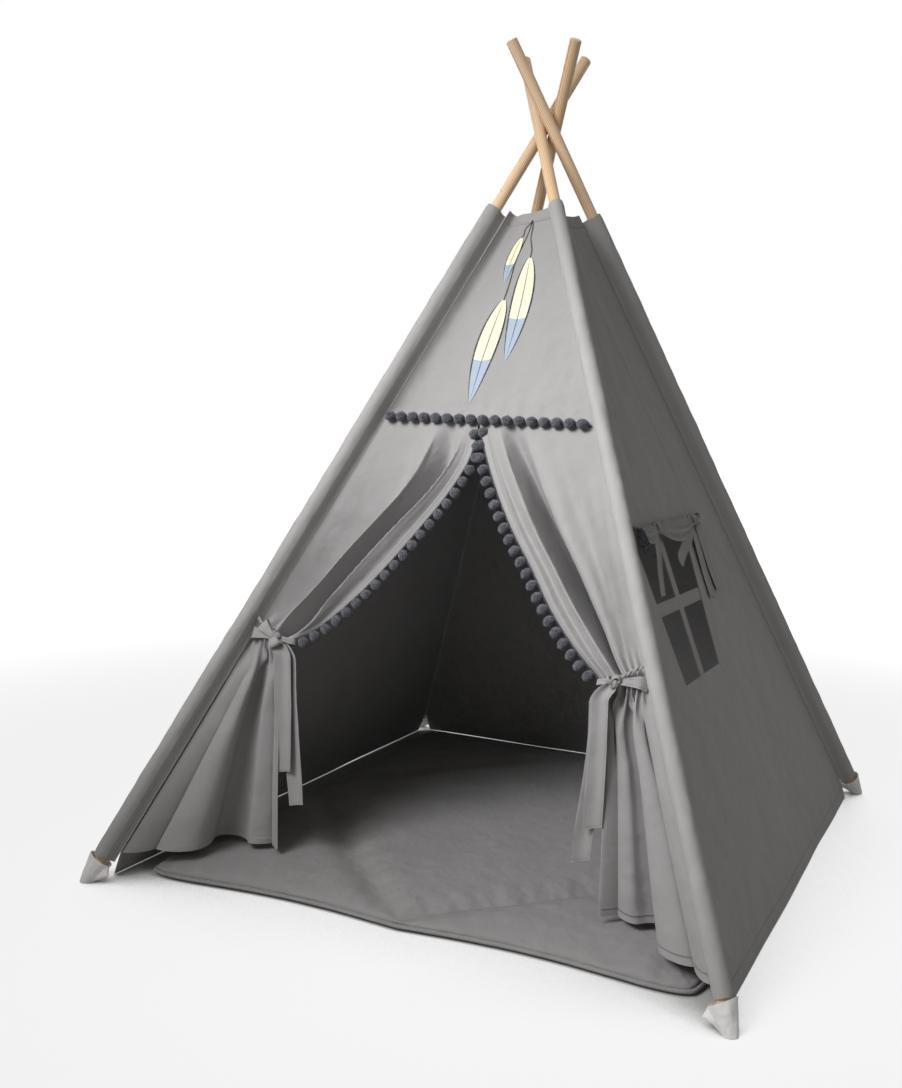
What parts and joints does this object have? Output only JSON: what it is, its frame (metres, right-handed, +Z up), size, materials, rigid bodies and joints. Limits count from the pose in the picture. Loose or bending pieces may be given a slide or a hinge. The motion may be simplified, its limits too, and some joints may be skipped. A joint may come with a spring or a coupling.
{
  "type": "play tent",
  "caption": "Free-standing play tent: crossed poles in sewn corner pockets, cloth walls, tied-back doorway curtains, a curtained window and a quilted floor mat.",
  "frame": {"origin": "on the floor under the crossing of the poles, at the middle of the four feet", "axes": "+Z up; -Y out of the doorway; +X out of the wall with the window"},
  "size_m": [1.2318, 1.2318, 1.541],
  "materials": {
    "pine": "satin",
    "white_cap": "matte",
    "pocket_canvas": "matte",
    "grey_canvas": "matte",
    "charcoal_wool": "matte",
    "mat_cotton": "matte"
  },
  "bodies": {
    "rear_frame": {"pole_rear_right": "pine", "pole_rear_left": "pine", "foot_cap_rear_right": "white_cap", "foot_cap_rear_left": "white_cap", "pole_pocket_rear_right": "pocket_canvas", "pole_pocket_rear_left": "pocket_canvas", "rear_wall": "grey_canvas", "left_wall": "grey_canvas", "right_wall": "grey_canvas", "window_cross": "grey_canvas", "window_cord": "charcoal_wool", "window_swag": "grey_canvas", "window_ribbon_front": "grey_canvas", "window_ribbon_rear_short": "grey_canvas", "window_ribbon_rear_inner": "grey_canvas", "window_ribbon_rear_outer": "grey_canvas", "floor_mat": "mat_cotton", "mat_piping": "mat_cotton"},
    "front_frame": {"pole_front_left": "pine", "pole_front_right": "pine", "foot_cap_front_left": "white_cap", "foot_cap_front_right": "white_cap", "pole_pocket_front_left": "pocket_canvas", "pole_pocket_front_right": "pocket_canvas", "front_panel": "grey_canvas", "front_trim": "charcoal_wool", "tie_band_left": "grey_canvas", "tie_band_right": "grey_canvas"},
    "left_curtain": {"curtain_left": "grey_canvas", "curtain_trim_left": "charcoal_wool"},
    "right_curtain": {"curtain_right": "grey_canvas", "curtain_trim_right": "charcoal_wool"},
    "left_tie_tails": {"tie_tail_left_front": "grey_canvas", "tie_tail_left_back": "grey_canvas"},
    "right_tie_tails": {"tie_tail_right_front": "grey_canvas", "tie_tail_right_back": "grey_canvas"}
  },
  "joints": [
    {"name": "fold", "type": "hinge", "parent": "rear_frame", "child": "front_frame", "pos_m": [0, 0, 1.4], "axis": [1, 0, 0], "range_deg": [0, 34], "deforming": ["left_wall", "right_wall", "window_cross", "window_cord", "window_swag", "window_ribbon_front", "window_ribbon_rear_short", "window_ribbon_rear_inner", "window_ribbon_rear_outer", "floor_mat", "mat_piping"]},
    {"name": "right_curtain_swing", "type": "hinge", "parent": "front_frame", "child": "right_curtain", "pos_m": [-0.02, -0.2163, 0.848], "axis": [0, 0.9191, -0.3939], "range_deg": [0, 35], "deforming": ["curtain_right", "curtain_trim_right"]},
    {"name": "left_curtain_swing", "type": "hinge", "parent": "front_frame", "child": "left_curtain", "pos_m": [-0.02, -0.2163, 0.848], "axis": [0, -0.9191, 0.3939], "range_deg": [0, 35], "deforming": ["curtain_left", "curtain_trim_left"]},
    {"name": "right_tails_swing", "type": "hinge", "parent": "front_frame", "child": "right_tie_tails", "pos_m": [0.332, -0.41275, 0.44745], "axis": [1, 0, 0], "range_deg": [-30, 0]},
    {"name": "left_tails_swing", "type": "hinge", "parent": "front_frame", "child": "left_tie_tails", "pos_m": [-0.332, -0.40516, 0.44745], "axis": [1, 0, 0], "range_deg": [-30, 0]}
  ]
}
